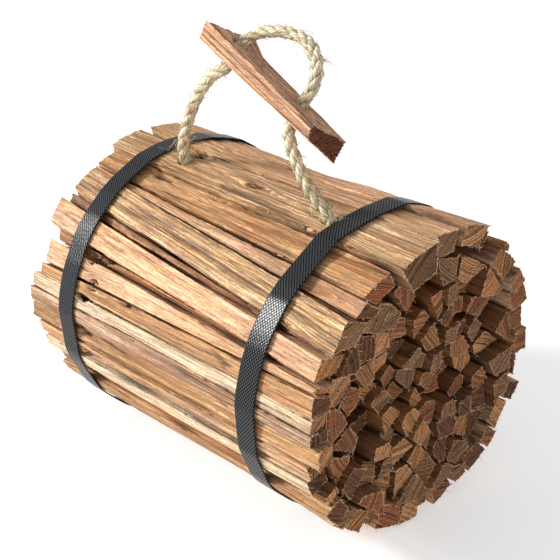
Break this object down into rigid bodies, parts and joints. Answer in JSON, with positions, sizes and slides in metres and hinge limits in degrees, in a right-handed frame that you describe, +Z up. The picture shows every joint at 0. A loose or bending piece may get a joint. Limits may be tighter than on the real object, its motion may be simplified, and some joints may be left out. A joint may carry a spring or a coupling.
{
  "type": "fatwood bundle",
  "caption": "Round bundle of split fatwood kindling held by dark plastic straps, with a looped rope carrying handle threaded through a short split stick as its grip.",
  "frame": {"origin": "on the surface that the bundle lies on, below the middle of the bundle", "axes": "+X along the sticks to the end whose sawn faces show in the picture, +Y across the bundle away from the picture's camera side, +Z up through the handle"},
  "size_m": [0.2168, 0.1658, 0.2321],
  "materials": {
    "outer_wood": "raw split pine, straw to tan, with resin streaks and frayed cut ends",
    "inner_wood": "raw split pine, resinous dark red-brown saw-cut ends",
    "grip_wood": "raw split pine, reddish tan",
    "strap": "charcoal strapping embossed with small woven diamonds",
    "rope": "pale natural fibre, laid in three loose strands"
  },
  "bodies": {
    "root": {"handle_grip": "grip_wood", "handle_rope": "rope", "handle_stick": "outer_wood", "inner_stick_01": "inner_wood", "inner_stick_02": "inner_wood", "inner_stick_03": "inner_wood", "inner_stick_04": "inner_wood", "inner_stick_05": "inner_wood", "inner_stick_06": "inner_wood", "inner_stick_07": "inner_wood", "inner_stick_08": "inner_wood", "inner_stick_09": "inner_wood", "inner_stick_10": "inner_wood", "inner_stick_11": "inner_wood", "inner_stick_12": "inner_wood", "inner_stick_13": "inner_wood", "inner_stick_14": "inner_wood", "inner_stick_15": "inner_wood", "inner_stick_16": "inner_wood", "inner_stick_17": "inner_wood", "inner_sticks": "inner_wood", "outer_stick_01": "outer_wood", "outer_stick_03": "outer_wood", "outer_stick_04": "outer_wood", "outer_stick_05": "outer_wood", "outer_stick_06": "outer_wood", "outer_stick_07": "outer_wood", "outer_stick_08": "outer_wood", "outer_stick_09": "outer_wood", "outer_stick_10": "outer_wood", "outer_stick_11": "outer_wood", "outer_stick_12": "outer_wood", "outer_stick_13": "outer_wood", "outer_stick_14": "outer_wood", "outer_stick_15": "outer_wood", "outer_stick_16": "outer_wood", "outer_stick_17": "outer_wood", "outer_stick_18": "outer_wood", "outer_stick_19": "outer_wood", "outer_stick_20": "outer_wood", "outer_stick_21": "outer_wood", "outer_stick_22": "outer_wood", "outer_stick_23": "outer_wood", "outer_stick_24": "outer_wood", "outer_stick_25": "outer_wood", "outer_stick_26": "outer_wood", "outer_stick_27": "outer_wood", "outer_stick_28": "outer_wood", "outer_stick_29": "outer_wood", "outer_stick_30": "outer_wood", "outer_stick_31": "outer_wood", "outer_stick_32": "outer_wood", "outer_stick_33": "outer_wood", "outer_stick_34": "outer_wood", "outer_stick_35": "outer_wood", "outer_stick_37": "outer_wood", "outer_stick_38": "outer_wood", "splinter": "outer_wood", "strap_far": "strap", "strap_near": "strap"}
  },
  "joints": []
}
